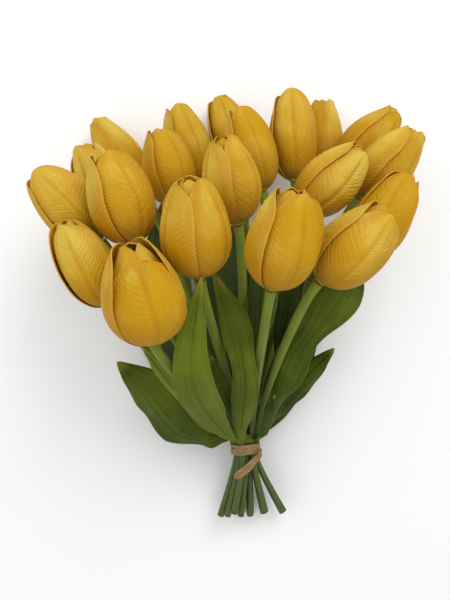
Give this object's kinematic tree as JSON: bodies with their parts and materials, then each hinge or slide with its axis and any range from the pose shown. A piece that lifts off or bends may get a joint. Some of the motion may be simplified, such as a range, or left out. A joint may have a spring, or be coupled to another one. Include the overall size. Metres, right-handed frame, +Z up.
{
  "type": "bunch of tulips",
  "caption": "Tied bunch of yellow tulips lying on its back: closed egg-shaped blooms fanning out above broad green leaves, stems gathered in a raffia tie.",
  "frame": {"origin": "on the surface that the bunch lies on, under the middle of its bounding box", "axes": "+Y along the stems from the cut ends to the blooms, +Z up from the surface to the front of the bunch"},
  "size_m": [0.2721, 0.3444, 0.1739],
  "materials": {
    "petal": "soft satin, warm yellow petals with deeper orange depths",
    "stem": "smooth matt green, darker and bluer below the tie",
    "leaf": "satin olive green blades with fine lengthwise veins",
    "raffia": "dry tan raffia"
  },
  "bodies": {
    "root": {"head_01": "petal", "head_02": "petal", "head_03": "petal", "head_04": "petal", "head_05": "petal", "head_06": "petal", "head_07": "petal", "head_08": "petal", "head_09": "petal", "head_10": "petal", "head_11": "petal", "head_12": "petal", "head_13": "petal", "head_14": "petal", "head_15": "petal", "head_16": "petal", "head_17": "petal", "head_18": "petal", "head_19": "petal", "head_20": "petal", "leaf_front_curly": "leaf", "leaf_front_middle": "leaf", "leaf_front_small": "leaf", "leaf_front_tall": "leaf", "leaf_inner_left": "leaf", "leaf_inner_right": "leaf", "leaf_inner_tall": "leaf", "leaf_left_back": "leaf", "leaf_left_broad": "leaf", "leaf_left_low": "leaf", "leaf_right_broad": "leaf", "leaf_right_low": "leaf", "leaf_right_narrow": "leaf", "leaf_under_left": "leaf", "leaf_under_middle": "leaf", "leaf_under_right": "leaf", "stem_01": "stem", "stem_02": "stem", "stem_03": "stem", "stem_04": "stem", "stem_05": "stem", "stem_06": "stem", "stem_07": "stem", "stem_08": "stem", "stem_09": "stem", "stem_10": "stem", "stem_11": "stem", "stem_12": "stem", "stem_13": "stem", "stem_14": "stem", "stem_15": "stem", "stem_16": "stem", "stem_17": "stem", "stem_18": "stem", "stem_19": "stem", "stem_20": "stem", "tie_loop": "raffia", "tie_wrap": "raffia"}
  },
  "joints": []
}
